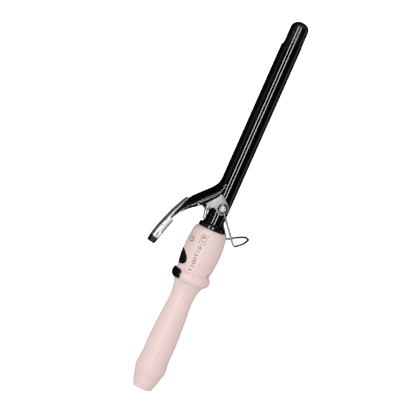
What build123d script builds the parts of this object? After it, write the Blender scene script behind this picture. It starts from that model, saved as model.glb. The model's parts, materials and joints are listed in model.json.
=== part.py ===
from build123d import *
import math
import os

# A clamp curling iron lying on its side. X runs along the barrel to the tip, Y points to the
# thumb lever and the buttons, and Z is the axis of the two pivot screws. Everything is drawn
# from the pivot centre on the barrel axis, and moved at the end so that the origin is the
# middle of the footprint, on the surface that the iron lies on.

os.makedirs("parts", exist_ok=True)

# ---------------------------------------------------------------- driving dimensions, mm
BARREL_R = 9.5
BARREL_WALL = 0.9
BARREL_END_X = 174.1
BARREL_ROOT_X = -34.0
CAP_R = 9.1
TIP_X = 198.2

JAW_INNER_R = 9.75
SHEET = 0.8
JAW_HALF_ANGLE = 57.0
JAW_START_X = 27.0
JAW_END_X = 171.1

GRIP_Y = -0.9
GRIP_TOP_X = -23.7
GRIP_END_X = -196.2
GRIP_WALL = 2.2
CAVITY_X0 = -190.0
CAVITY_X1 = -34.0
BEAD_X = -75.3
BEAD_R = 20.0
SEAM_GAP = 0.02

COLLAR_R = 13.5
COLLAR_TOP_X = -17.8
NECK_R = 11.5

BOSS_TOP_Z = 10.6
EAR_Z = 10.7
EAR_THICK = 0.9
EAR_LOBE_R = 6.6
WASHER_Z = 11.7
WASHER_THICK = 0.5
WASHER_R = 4.75
WIRE_D = 2.0
EYE_Z = 13.3
SCREW_HEAD_Z = 14.4
SCREW_HEAD_R = 3.75
SCREW_HEAD_H = 1.6
SHOULDER_R = 2.0
THREAD_R = 1.5
RUNNING_GAP = 0.08

STAND_LEG = 37.6
STAND_HALF_WIDTH = 22.5
STAND_ARCH_H = 17.3
STAND_ANGLE = 38.2

PIN_X = -4.6
PIN_Y = 13.6
PIN_R = 1.3
SPRING_WIRE_D = 1.2
SPRING_COIL_R = 2.1
SPRING_COIL_Z = 5.3
SPRING_TURNS = 3
SPRING_FOOT_R = 0.75
SPRING_FOOT_Z = 7.0

BUTTON_HALF_X = 4.6
BUTTON_HALF_Z = 14.4
WINDOW_LOW_X = -66.0
WINDOW_HIGH_X = -50.6
WINDOW_HALF_Z = 11.9

BOARD_Y = 8.2
BOARD_THICK = 1.6
BOARD_HALF_Z = 6.8

GLAND_R = 5.5
CORD_BORE_R = 3.4

# Grip screws: station along X, offset in Z, and where the head seats in Y.
GRIP_SCREWS = [(-66.5, 10.2, -8.0), (-66.5, -10.2, -8.0), (-112.0, 0.0, -7.0), (-164.0, 0.0, -8.0)]
SCREW_POST_R = 3.0
SCREW_R = 1.3
SCREW_END_Y = 7.0

nodes = {}


# ---------------------------------------------------------------- helpers
def rod_x(radius, x0, x1, y=0.0, z=0.0):
    """A round bar along X from x0 to x1."""
    bar = Cylinder(radius, x1 - x0, align=(Align.CENTER, Align.CENTER, Align.MIN))
    return Pos(x0, y, z) * Rot(0, 90, 0) * bar


def rod_y(radius, y0, y1, x, z):
    """A round bar along Y from y0 to y1."""
    bar = Cylinder(radius, y1 - y0, align=(Align.CENTER, Align.CENTER, Align.MIN))
    return Pos(x, y0, z) * Rot(-90, 0, 0) * bar


def rod_z(radius, z0, z1, x=0.0, y=0.0):
    """A round bar along Z from z0 to z1."""
    bar = Cylinder(radius, z1 - z0, align=(Align.CENTER, Align.CENTER, Align.MIN))
    return Pos(x, y, z0) * bar


def block(x0, x1, y0, y1, z0, z1):
    """A box between two corners."""
    middle = Pos((x0 + x1) / 2, (y0 + y1) / 2, (z0 + z1) / 2)
    return middle * Box(x1 - x0, y1 - y0, z1 - z0)


def prism_z(points, z0, z1):
    """A prism along Z over a closed polygon in X and Y."""
    outline = Polyline(*points, points[0])
    return Pos(0, 0, z0) * extrude(make_face(outline), amount=z1 - z0, dir=(0, 0, 1))


def turned_x(points, y=0.0):
    """A body turned about the X axis from a closed polygon of station and radius."""
    outline = Polyline(*points, points[0])
    return Pos(0, y, 0) * revolve(make_face(outline), axis=Axis.X)


def wire_along(path, radius):
    """A round wire along a path."""
    start = Plane(origin=path @ 0, z_dir=path % 0)
    return sweep(start * Circle(radius), path=path)


def turned_over(shape):
    """A part of the pivot, turned half a turn about the barrel to its other side."""
    return Rot(180, 0, 0) * shape


# ---------------------------------------------------------------- grip
def grip_body(inset):
    """The turned body of the grip, with its surface moved inwards by inset."""
    top = (GRIP_TOP_X, 15.0 - inset)
    waist = (BEAD_X + 5.9, 16.9 - inset)
    under_bead = (BEAD_X - 5.9, 15.5 - inset)
    ridge = (-172.3, 15.7 - inset)
    heel = (-193.4, 10.2 - inset)
    swell = Spline(top, (-33.5, 18.0 - inset), (-45.4, 19.0 - inset), (-57.5, 18.4 - inset), waist)
    bead = ThreePointArc(waist, (BEAD_X, BEAD_R - inset), under_bead)
    neck = Spline(
        under_bead,
        (-86.0, 13.6 - inset),
        (-98.0, 12.1 - inset),
        (-118.0, 13.3 - inset),
        (-145.0, 14.7 - inset),
        (-163.0, 14.75 - inset),
        ridge,
    )
    shoulder = ThreePointArc(ridge, (-175.6, 15.6 - inset), (-178.2, 14.9 - inset))
    taper = Line(shoulder @ 1, heel)
    end_corner = (GRIP_END_X, 7.8 - inset)
    round_end = ThreePointArc(heel, (-195.4, 9.25 - inset), end_corner)
    close = Polyline(end_corner, (GRIP_END_X, 0), (GRIP_TOP_X, 0), top)
    outline = make_face(Wire([swell, bead, neck, shoulder, taper, round_end] + close.edges()))
    return Pos(0, GRIP_Y, 0) * revolve(outline, axis=Axis.X)


def window_prism(grow):
    """The egg outline of the display window, grown by a margin and carried along Y."""
    low = WINDOW_LOW_X - grow
    high = WINDOW_HIGH_X + grow
    half = WINDOW_HALF_Z + grow
    side = [(low + 0.9, 0.68 * half), (low + 4.4, half), (low + 9.6, 0.82 * half), (high - 1.3, 0.36 * half)]
    far = [(x, -z) for x, z in reversed(side)]
    egg = Spline((low, 0), *side, (high, 0), *far, periodic=True)
    face = Plane.XZ * make_face(egg)
    return extrude(face, amount=-30)


def button_prism(grow_x, grow_z):
    """The rectangle of the press button, carried along Y."""
    half_x = BUTTON_HALF_X + grow_x
    half_z = BUTTON_HALF_Z + grow_z
    return block(BEAD_X - half_x, BEAD_X + half_x, 4, 30, -half_z, half_z)


grip_solid = grip_body(0.0)
window_seat_body = grip_body(1.3)
cavity = grip_body(GRIP_WALL) & block(CAVITY_X0, CAVITY_X1, -30, 30, -30, 30)
mouth = rod_x(NECK_R + 0.1, CAVITY_X1 - 0.5, GRIP_TOP_X + 1)
gland_seat = rod_x(GLAND_R + RUNNING_GAP, GRIP_END_X - 1, CAVITY_X0 + 1, GRIP_Y, 0)
grip_shell = grip_solid - cavity - mouth - gland_seat
post_space = grip_body(1.0)

front = grip_shell & block(-250, 50, SEAM_GAP / 2, 40, -40, 40)
rear = grip_shell & block(-250, 50, -40, -SEAM_GAP / 2, -40, 40)
for x, z, seat_y in GRIP_SCREWS:
    front += rod_y(SCREW_POST_R, SEAM_GAP / 2, 25, x, z) & post_space
    rear += rod_y(SCREW_POST_R, -25, -SEAM_GAP / 2, x, z) & post_space
for x, z, seat_y in GRIP_SCREWS:
    front -= rod_y(SCREW_R + 0.02, -1, SCREW_END_Y + 0.5, x, z)
    rear -= rod_y(SCREW_R + 0.15, -30, 1, x, z)
    rear -= rod_y(2.7, -30, seat_y, x, z)
front -= window_prism(0.05) - window_seat_body
front -= window_prism(-1.6) & block(-80, -40, 9, 30, -20, 20)
front -= button_prism(0.25, 0.25)
nodes["front_grip_shell"] = front
nodes["rear_grip_shell"] = rear

nodes["display_window"] = (grip_body(-0.25) - window_seat_body) & window_prism(0.0)

button_skin = (grip_body(-0.1) - grip_body(3.0)) & button_prism(0.0, 0.0)
button_lip = (grip_body(2.45) - grip_body(3.0)) & button_prism(0.9, -0.5)
button_stem = rod_y(1.6, 13.1, 17.0, BEAD_X, 0.0)
nodes["power_button"] = button_skin + button_lip + button_stem


def grip_screw(x, z, seat_y):
    """One self-tapping screw with a cross recess, head towards the back of the grip."""
    body = rod_y(2.5, seat_y - 1.8, seat_y, x, z) + rod_y(SCREW_R, seat_y - 0.5, SCREW_END_Y, x, z)
    slot_y0 = seat_y - 1.9
    slot_y1 = seat_y - 0.9
    slot = block(x - 1.5, x + 1.5, slot_y0, slot_y1, z - 0.35, z + 0.35)
    cross = block(x - 0.35, x + 0.35, slot_y0, slot_y1, z - 1.5, z + 1.5)
    return body - slot - cross


nodes["grip_screws"] = [grip_screw(*place) for place in GRIP_SCREWS]

# ---------------------------------------------------------------- collar, barrel and cap
collar_profile = [
    (COLLAR_TOP_X, BARREL_R + 0.05),
    (COLLAR_TOP_X, BARREL_R + 1.1),
    (COLLAR_TOP_X - 0.9, BARREL_R + 1.7),
    (COLLAR_TOP_X - 1.5, BARREL_R + 2.3),
    (COLLAR_TOP_X - 1.9, COLLAR_R - 0.9),
    (COLLAR_TOP_X - 2.9, COLLAR_R),
    (GRIP_TOP_X + 0.8, COLLAR_R),
    (GRIP_TOP_X + 0.02, COLLAR_R - 0.7),
    (GRIP_TOP_X + 0.02, NECK_R),
    (CAVITY_X1 + 0.2, NECK_R),
    (CAVITY_X1 + 0.2, BARREL_R + 0.05),
]
nodes["collar"] = turned_x(collar_profile)

boss_hole_r = 2.6
barrel = rod_x(BARREL_R, BARREL_ROOT_X, BARREL_END_X) - rod_x(
    BARREL_R - BARREL_WALL, BARREL_ROOT_X - 1, BARREL_END_X + 1
)
barrel -= rod_z(boss_hole_r, -20, 20)
nodes["barrel"] = barrel

cap_shaft = rod_x(CAP_R, BARREL_END_X + 0.01, TIP_X - CAP_R)
cap_dome = Pos(TIP_X - CAP_R, 0, 0) * Sphere(CAP_R)
cap_plug = rod_x(BARREL_R - BARREL_WALL - 0.05, BARREL_END_X - 6.0, BARREL_END_X + 1)
cap_bore = rod_x(6.2, BARREL_END_X - 7.0, TIP_X - CAP_R)
nodes["tip_cap"] = cap_shaft + cap_dome + cap_plug - cap_bore

insulator = rod_x(12.6, CAVITY_X1 - 6.0, CAVITY_X1 - 0.6)
nodes["root_insulator"] = insulator - rod_x(5.2, CAVITY_X1 - 8, CAVITY_X1 + 1)

# ---------------------------------------------------------------- pivot on the barrel
boss = rod_z(3.4, 7.4, BOSS_TOP_Z) & (rod_x(30, -8, 8) - rod_x(BARREL_R, -9, 9))
boss += rod_z(boss_hole_r, 7.4, BOSS_TOP_Z)
boss += rod_z(3.8, 6.6, 7.6)
boss -= rod_z(THREAD_R, 5, 12)
nodes["pivot_bosses"] = [boss, turned_over(boss)]

washer = rod_z(WASHER_R, WASHER_Z, WASHER_Z + WASHER_THICK) - rod_z(SHOULDER_R, 10, 14)
nodes["pivot_washers"] = [washer, turned_over(washer)]

pivot_screw = rod_z(THREAD_R, 7.0, BOSS_TOP_Z + 0.5)
pivot_screw += rod_z(SHOULDER_R, BOSS_TOP_Z, SCREW_HEAD_Z + 0.2)
head = rod_z(SCREW_HEAD_R, SCREW_HEAD_Z, SCREW_HEAD_Z + SCREW_HEAD_H)
pivot_screw += chamfer(head.edges().group_by(Axis.Z)[-1], 0.5)
pivot_screw -= block(-1.9, 1.9, -0.45, 0.45, SCREW_HEAD_Z + 0.5, 20)
pivot_screw -= block(-0.45, 0.45, -1.9, 1.9, SCREW_HEAD_Z + 0.5, 20)
nodes["pivot_screws"] = [pivot_screw, turned_over(pivot_screw)]

# ---------------------------------------------------------------- clamp: jaw and lever
# Lever sections: crown point x and y, direction of travel in degrees from -X towards +Y,
# half width, depth of the side flanges and drop of the crown at the flanges.
LEVER = [
    (27.0, 10.55, 0.0, 8.85, 4.8, 3.6),
    (20.5, 11.9, 28.0, 12.4, 7.6, 3.5),
    (15.6, 15.2, 41.0, 12.4, 9.1, 3.2),
    (5.3, 25.0, 43.5, 12.4, 10.3, 3.0),
    (0.0, 29.8, 41.0, 12.4, 9.6, 3.0),
    (-6.0, 34.2, 34.0, 10.4, 7.8, 2.5),
    (-14.0, 38.7, 26.0, 8.0, 5.7, 2.0),
    (-22.0, 42.1, 20.0, 6.4, 3.9, 1.3),
    (-34.0, 45.6, 16.0, 5.4, 1.9, 0.8),
]


def lever_section(x, y, angle, half, depth, drop):
    """One trough section of the lever: a crowned top with a flange down each side."""
    lean = math.radians(angle)
    out = (math.sin(lean), math.cos(lean))

    def at(z, down):
        return (x - out[0] * down, y - out[1] * down, z)

    inner = half - SHEET
    inner_drop = drop + SHEET * 0.9
    crown = ThreePointArc(at(-half, drop), at(0, 0), at(half, drop))
    lining = ThreePointArc(at(inner, inner_drop), at(0, SHEET), at(-inner, inner_drop))
    side_a = Polyline(at(half, drop), at(half, depth), at(inner, depth), at(inner, inner_drop))
    side_b = Polyline(at(-inner, inner_drop), at(-inner, depth), at(-half, depth), at(-half, drop))
    return Face(Wire([crown] + side_a.edges() + [lining] + side_b.edges()))


jaw_outer = rod_x(JAW_INNER_R + SHEET, JAW_START_X - 1.0, JAW_END_X)
jaw_bore = rod_x(JAW_INNER_R, JAW_START_X - 2, JAW_END_X + 1)
jaw_edge = (20 * math.cos(math.radians(JAW_HALF_ANGLE)), 20 * math.sin(math.radians(JAW_HALF_ANGLE)))
jaw_sector = Polyline((0, 0), jaw_edge, (25, 0), (jaw_edge[0], -jaw_edge[1]), (0, 0))
jaw_space = Pos(JAW_START_X - 2, 0, 0) * extrude(Plane.YZ * make_face(jaw_sector), amount=JAW_END_X)
clamp_plate = (jaw_outer - jaw_bore) & jaw_space
for low, high in zip(LEVER[:-1], LEVER[1:]):
    clamp_plate += loft([lever_section(*low), lever_section(*high)], ruled=True)
nodes["clamp_plate"] = clamp_plate

# ---------------------------------------------------------------- hinge bracket
def on_circle(radius, degrees, x=0.0, y=0.0):
    """A point of a circle in X and Y, at an angle from +X."""
    angle = math.radians(degrees)
    return (x + radius * math.cos(angle), y + radius * math.sin(angle))


# One ear: under the lever's flange, round the pivot, and out to a small tab for the spring pin.
TAB_R = 2.3
lobe = [on_circle(EAR_LOBE_R, degrees) for degrees in (-42, -105, -192)]
tab = [on_circle(TAB_R, degrees, PIN_X, PIN_Y) for degrees in (215, 150, 80)]
ear_outline = Polyline((-1.6, 15.9), (-3.0, 19.8), (-2.0, 23.6), (13.4, 10.2), (12.6, 5.0), lobe[0]).edges()
ear_outline.append(ThreePointArc(*lobe))
ear_outline += Polyline(lobe[2], (-2.0, 8.4), tab[0]).edges()
ear_outline.append(ThreePointArc(*tab))
ear_outline.append(Line(tab[2], (-1.6, 15.9)))
ear_face = make_face(ear_outline)
ear_face -= Circle(SHOULDER_R + RUNNING_GAP)
ear_face -= Pos(PIN_X, PIN_Y) * Circle(PIN_R)
ear = extrude(ear_face, amount=EAR_THICK, dir=(0, 0, 1))
web = [(11.3, 12.0), (2.0, 20.2), (1.4, 19.5), (10.7, 11.3)]
bracket = prism_z(web, -EAR_Z, EAR_Z) + Pos(0, 0, EAR_Z) * ear + Pos(0, 0, -EAR_Z - EAR_THICK) * ear
nodes["hinge_bracket"] = bracket

pin_end = EAR_Z + EAR_THICK
spring_pin = rod_z(PIN_R, -pin_end - 0.6, pin_end + 0.6, PIN_X, PIN_Y)
spring_pin += rod_z(1.9, pin_end + 0.01, pin_end + 0.6, PIN_X, PIN_Y)
spring_pin += rod_z(1.9, -pin_end - 0.6, -pin_end - 0.01, PIN_X, PIN_Y)
nodes["spring_pin"] = spring_pin


coil_mid = SPRING_COIL_Z + 0.8
coil_far = SPRING_COIL_Z + SPRING_TURNS * SPRING_WIRE_D - 0.8
spring_foot = (-16.6, BARREL_R + 0.85)


def wire_between(start, end):
    """A straight run of spring wire between two points."""
    return wire_along(Line(start, end), SPRING_WIRE_D / 2)


coil_end = SPRING_COIL_Z + SPRING_TURNS * SPRING_WIRE_D
coil_r = SPRING_COIL_R + SPRING_WIRE_D / 2
clamp_spring = rod_z(SPRING_FOOT_R, -SPRING_FOOT_Z, SPRING_FOOT_Z, *spring_foot)
for side in (1, -1):
    low_z, high_z = sorted((side * SPRING_COIL_Z, side * coil_end))
    mid_z = side * coil_mid
    far_z = side * coil_far
    half_spring = rod_z(coil_r, low_z, high_z, PIN_X, PIN_Y)
    half_spring += wire_between((PIN_X - 2.0, PIN_Y - 0.6, mid_z), (*spring_foot, mid_z))
    half_spring += wire_between((PIN_X + 1.2, PIN_Y + 1.4, far_z), (3.4, 16.6, far_z))
    half_spring -= rod_z(SPRING_COIL_R - SPRING_WIRE_D / 2, -20, 20, PIN_X, PIN_Y)
    clamp_spring += half_spring
nodes["clamp_spring"] = clamp_spring

# ---------------------------------------------------------------- thumb rest
# Sections: outer face x and y, lean in degrees as on the lever, thickness and half width.
REST_STRIP = [(-3.6, 35.3, 30.0, 1.9, 4.6), (-13.0, 40.3, 26.0, 2.9, 5.6), (-30.5, 47.0, 19.0, 4.6, 6.4)]
REST_SLEEVE = [(-29.0, 46.4, 19.0, 8.0, 6.4), (-38.5, 50.1, 18.0, 8.5, 6.8), (-50.6, 53.9, 17.0, 8.3, 6.8)]
REST_END = (-57.4, 55.3, 14.0, 7.4, 6.3)


def rest_section(x, y, angle, thick, half):
    """One rounded section of the thumb rest, square to its run."""
    lean = math.radians(angle)
    out = (math.sin(lean), math.cos(lean), 0)
    centre = (x - out[0] * thick / 2, y - out[1] * thick / 2, 0)
    run = (-out[1], out[0], 0)
    plane = Plane(origin=centre, x_dir=(0, 0, 1), z_dir=run)
    return plane * RectangleRounded(2 * half, thick, min(1.6, thick * 0.45))


strip = loft([rest_section(*s) for s in REST_STRIP], ruled=True)
sleeve = loft([rest_section(*s) for s in REST_SLEEVE], ruled=True)
lever_space = clamp_plate
for low, high in zip(LEVER[4:-1], LEVER[5:]):
    hull_low = lever_section(*low)
    hull_high = lever_section(*high)
    lever_space += loft([Face(hull_low.outer_wire()), Face(hull_high.outer_wire())], ruled=True)
end_plug = [(-46.0, 50.0, 17.0, 2.6, 4.6), (-53.0, 52.1, 17.0, 2.6, 4.6)]
plug = loft([rest_section(*s) for s in end_plug], ruled=True)
nodes["thumb_rest"] = strip + sleeve - lever_space - plug
end_body = loft([rest_section(*REST_SLEEVE[-1]), rest_section(*REST_END)], ruled=True)
nodes["thumb_rest_cap"] = end_body + plug

# ---------------------------------------------------------------- wire stand
lean = math.radians(STAND_ANGLE)
leg_dir = (-math.cos(lean), -math.sin(lean))
arch_dir = (math.sin(lean), -math.cos(lean))


def stand_point(along, up, z):
    """A point of the stand, along its legs and up its arch."""
    x = leg_dir[0] * along + arch_dir[0] * up
    y = leg_dir[1] * along + arch_dir[1] * up
    return (x, y, z)


half_stand = [
    stand_point(2.6, 0, EYE_Z),
    stand_point(7.0, 0, EYE_Z + 0.6),
    stand_point(STAND_LEG, 0, STAND_HALF_WIDTH),
    stand_point(STAND_LEG, 0.62 * STAND_ARCH_H, 0.86 * STAND_HALF_WIDTH),
    stand_point(STAND_LEG, STAND_ARCH_H + 0.6, 0.36 * STAND_HALF_WIDTH),
]
far_half = [(x, y, -z) for x, y, z in reversed(half_stand)]
stand_path = FilletPolyline(*half_stand, *far_half, radius=[6.0, 2.6, 7.0, 7.5, 7.5, 7.0, 2.6, 6.0])
eye = Torus(SHOULDER_R + RUNNING_GAP + WIRE_D / 2, WIRE_D / 2)
nodes["wire_stand"] = wire_along(stand_path, WIRE_D / 2) + Pos(0, 0, EYE_Z) * eye + Pos(0, 0, -EYE_Z) * eye

# ---------------------------------------------------------------- heater inside the barrel
spreader = rod_x(8.5, 28.0, 166.0)
nodes["heat_spreader_front"] = spreader & block(20, 170, 1.7, 20, -20, 20)
nodes["heat_spreader_rear"] = spreader & block(20, 170, -20, -1.7, -20, 20)
nodes["heater_element"] = block(28.5, 165.5, -1.65, 1.65, -6.5, 6.5)


def board_lead(radius, x, y, z, pad_x):
    """One insulated wire from the barrel to the circuit board."""
    pad = (pad_x, BOARD_Y - 0.02, z)
    path = FilletPolyline((x, y, z), (-30, y * 0.3, z), (pad_x, 2.5, z), pad, radius=2.0)
    return wire_along(path, radius)


nodes["heater_leads"] = [board_lead(0.7, 28.4, 0.0, z, -47.5) for z in (-3.0, 3.0)]
sensor = rod_x(1.2, 16.0, 27.9, 4.5, 0.0)
nodes["temperature_sensor"] = sensor + board_lead(0.4, 17.0, 4.5, 0.0, -49.0)
fuse = rod_x(1.6, 14.0, 26.0, -4.5, 0.0)
fuse_pad = (-51.0, BOARD_Y - 0.02, 5.0)
fuse_lead = FilletPolyline((15, -4.5, 0.0), (-30, -2.6, 0.0), (-51.0, 0.5, 5.0), fuse_pad, radius=2.0)
nodes["thermal_fuse"] = fuse + wire_along(fuse_lead, 0.4)

# ---------------------------------------------------------------- electronics in the grip
board_top = BOARD_Y + BOARD_THICK
nodes["circuit_board"] = block(-79.5, -45.5, BOARD_Y, board_top, -BOARD_HALF_Z, BOARD_HALF_Z)
nodes["display_module"] = block(-64.0, -52.0, board_top, 13.2, -6.0, 6.0)
nodes["film_capacitor"] = block(-62.0, -54.0, 1.6, BOARD_Y, -4.2, 4.2)
nodes["triac"] = block(-78.5, -72.0, 4.2, BOARD_Y, -5.0, 5.0)
switch = block(BEAD_X - 3, BEAD_X + 3, board_top, 12.2, -3, 3)
nodes["tact_switch"] = switch - rod_y(1.6, 10.5, 13.0, BEAD_X, 0.0)
nodes["switch_plunger"] = rod_y(1.5, 11.5, 13.09, BEAD_X, 0.0)

# ---------------------------------------------------------------- cord inlet
gland = rod_x(GLAND_R, GRIP_END_X + 0.2, CAVITY_X0 + 0.2, GRIP_Y, 0)
gland += rod_x(7.0, CAVITY_X0 + 0.15, CAVITY_X0 + 2.2, GRIP_Y, 0)
nodes["cord_gland"] = gland - rod_x(CORD_BORE_R, GRIP_END_X - 1, CAVITY_X0 + 5, GRIP_Y, 0)

# ---------------------------------------------------------------- place and write
shapes = {}
for name, solids in nodes.items():
    shapes[name] = Compound(children=list(solids)) if isinstance(solids, list) else solids
boxes = [shape.bounding_box() for shape in shapes.values()]
low = [min(tuple(box.min)[axis] for box in boxes) for axis in range(3)]
high = [max(tuple(box.max)[axis] for box in boxes) for axis in range(3)]
shift = Pos(-(low[0] + high[0]) / 2, -(low[1] + high[1]) / 2, -low[2])
for name, shape in shapes.items():
    export_step(shift * shape, f"parts/{name}.step")
print("pivot centre at", shift.position, "size", [round(b - a, 2) for a, b in zip(low, high)])
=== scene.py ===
"""Clamp curling iron: the visible pieces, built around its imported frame."""

import json
import math

import bmesh
import bpy
import numpy as np
from mathutils import Matrix, Vector


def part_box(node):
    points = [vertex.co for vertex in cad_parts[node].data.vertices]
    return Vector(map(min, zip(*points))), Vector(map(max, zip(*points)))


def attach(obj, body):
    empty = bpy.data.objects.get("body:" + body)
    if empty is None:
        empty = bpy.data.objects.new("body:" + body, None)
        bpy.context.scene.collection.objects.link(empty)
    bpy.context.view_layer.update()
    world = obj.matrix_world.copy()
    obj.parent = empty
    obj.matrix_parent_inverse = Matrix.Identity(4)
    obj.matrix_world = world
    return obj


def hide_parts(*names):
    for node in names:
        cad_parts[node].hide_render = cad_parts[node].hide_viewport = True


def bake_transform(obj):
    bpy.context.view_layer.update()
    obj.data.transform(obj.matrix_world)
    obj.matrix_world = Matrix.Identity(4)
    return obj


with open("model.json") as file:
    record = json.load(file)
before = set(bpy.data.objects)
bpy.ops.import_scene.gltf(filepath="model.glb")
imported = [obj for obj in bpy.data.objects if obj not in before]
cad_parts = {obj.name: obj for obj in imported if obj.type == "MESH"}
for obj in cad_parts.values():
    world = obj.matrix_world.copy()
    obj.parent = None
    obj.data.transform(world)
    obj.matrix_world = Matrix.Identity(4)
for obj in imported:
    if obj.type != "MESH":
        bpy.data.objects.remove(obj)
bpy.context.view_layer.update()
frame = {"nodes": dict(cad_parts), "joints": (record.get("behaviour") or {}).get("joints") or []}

bl_info = {
    "name": "Clamp Curling Iron",
    "version": (1, 0, 0),
    "blender": (4, 5, 0),
    "location": "View3D > Sidebar > Iron",
    "description": "Builds the visible pieces of a clamp curling iron around its packed frame",
    "category": "Object",
}

MM = 0.001
HINGE = next(joint for joint in frame["joints"] if joint["name"] == "clamp_hinge")
PIVOT = np.array(HINGE["pos_m"])


def node_span(node):
    """Lowest and highest corner of a CAD node, in mm about the pivot."""
    low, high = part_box(node)
    return (np.array(low) - PIVOT) / MM, (np.array(high) - PIVOT) / MM


BARREL_LOW, BARREL_HIGH = node_span("barrel")
CAP_HIGH = node_span("tip_cap")[1]
COLLAR_LOW, COLLAR_HIGH = node_span("collar")
JAW_HIGH = node_span("clamp_plate")[1]
GRIP_LOW, GRIP_HIGH = node_span("rear_grip_shell")
WASHER_HIGH = node_span("pivot_washers")[1]
SCREW_HIGH = node_span("pivot_screws")[1]
GLAND_LOW = node_span("cord_gland")[0]

# Places that the pieces share, in mm about the pivot, and the factors that mirror one side.
GRIP_Y = -0.9
BEAD_X = -75.3
WINDOW_X = -59.5
PIN = (-4.6, 13.6)
MIRROR = (1, 1, -1)


# ---- shape helpers
def smooth_through(stations, values, at):
    """Cubic curve through rising stations, whose slope at each is the gradient of its neighbours."""
    x = np.asarray(stations, float)
    y = np.asarray(values, float).reshape(len(x), -1)
    slope = np.gradient(y, x, axis=0)
    at = np.atleast_1d(np.asarray(at, float))
    k = np.clip(np.searchsorted(x, at) - 1, 0, len(x) - 2)
    step = (x[k + 1] - x[k])[:, None]
    t = ((at - x[k]) / step[:, 0])[:, None]
    start = (1 + 2 * t) * (1 - t) ** 2 * y[k] + t * (1 - t) ** 2 * step * slope[k]
    end = t**2 * (3 - 2 * t) * y[k + 1] + t**2 * (t - 1) * step * slope[k + 1]
    return (start + end).squeeze()


def ease(value):
    """Smooth step from 0 to 1."""
    t = np.clip(value, 0.0, 1.0)
    return t * t * (3 - 2 * t)


def surface(name, *grids, rings=(), sharp_deg=38.0):
    """One object from grids of points, each (rows, columns, 3) in mm about the pivot.

    Columns wrap round. In rings the rows wrap too. In other grids each end row is closed by one
    face, or by a pole where its points meet. Faces are turned outwards."""
    shell = bmesh.new()
    for grid, ring in [(grid, False) for grid in grids] + [(grid, True) for grid in rings]:
        rows, cols = grid.shape[:2]
        i = np.arange(rows if ring else rows - 1)[:, None]
        j = np.arange(cols)[None, :]
        after = (j + 1) % cols
        below = (i + 1) % rows
        corners = [i * cols + j, i * cols + after, below * cols + after, below * cols + j]
        faces = np.stack(corners, -1).reshape(-1, 4).tolist()
        for row in () if ring else (0, rows - 1):
            if np.ptp(grid[row], axis=0).max() > 1e-6:
                loop = list(range(row * cols, (row + 1) * cols))
                faces.append(loop if row else loop[::-1])
        part = bpy.data.meshes.new(name)
        part.from_pydata((PIVOT + grid.reshape(-1, 3) * MM).tolist(), [], faces)
        piece = bmesh.new()
        piece.from_mesh(part)
        bmesh.ops.remove_doubles(piece, verts=piece.verts, dist=1e-8)
        bmesh.ops.dissolve_degenerate(piece, edges=piece.edges, dist=1e-9)
        if piece.calc_volume(signed=True) < 0:
            bmesh.ops.reverse_faces(piece, faces=piece.faces)
        piece.to_mesh(part)
        piece.free()
        shell.from_mesh(part)
        bpy.data.meshes.remove(part)
    mesh = bpy.data.meshes.new(name)
    shell.to_mesh(mesh)
    shell.free()
    mesh.shade_smooth()
    mesh.set_sharp_from_angle(angle=math.radians(sharp_deg))
    obj = bpy.data.objects.new(name, mesh)
    bpy.context.scene.collection.objects.link(obj)
    return obj


def circle(count):
    """Angles evenly round a circle."""
    return np.linspace(0, 2 * math.pi, count, endpoint=False)


def turned(profile, axis="x", centre=(0.0, 0.0), steps=96):
    """Grid of a body turned about an axis along X or Z: each (station, radius) becomes a circle."""
    station, radius = np.asarray(profile, float).T
    angle = circle(steps)
    first = centre[0] + radius[:, None] * np.cos(angle)
    second = centre[1] + radius[:, None] * np.sin(angle)
    along = np.broadcast_to(station[:, None], first.shape)
    order = (along, first, second) if axis == "x" else (first, second, along)
    return np.stack(order, -1)


def arc_points(centre, radius, start_deg, end_deg, count):
    """Points of a circular arc in its own plane."""
    angle = np.radians(np.linspace(start_deg, end_deg, count))
    return np.stack([centre[0] + radius * np.cos(angle), centre[1] + radius * np.sin(angle)], -1)


def rounded_path(points, radii, step=0.35):
    """Straight runs joined by arcs: at each corner the arc touches both runs, radius over tan of half
    the turn away from the corner, and its middle lies on the corner's bisector."""
    points = np.asarray(points, float)
    pieces = [points[:1]]
    for before, corner, after, radius in zip(points[:-2], points[1:-1], points[2:], radii):
        into = (before - corner) / np.linalg.norm(before - corner)
        out = (after - corner) / np.linalg.norm(after - corner)
        half = math.acos(np.clip(into @ out, -1, 1)) / 2
        bisector = (into + out) / np.linalg.norm(into + out)
        centre = corner + bisector * radius / math.sin(half)
        first = corner + into * radius / math.tan(half) - centre
        last = corner + out * radius / math.tan(half) - centre
        sweep = math.pi - 2 * half
        t = np.linspace(0, 1, max(6, int(radius * sweep / step)))[:, None]
        arc = (np.sin((1 - t) * sweep) * first + np.sin(t * sweep) * last) / math.sin(sweep)
        pieces.append(centre + arc)
    pieces.append(points[-1:])
    path = np.concatenate(pieces)
    lengths = np.concatenate([[0], np.cumsum(np.linalg.norm(np.diff(path, axis=0), axis=1))])
    count = max(8, int(lengths[-1] / step))
    even = np.linspace(0, lengths[-1], count)
    return np.stack([np.interp(even, lengths, path[:, k]) for k in range(3)], -1)


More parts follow.
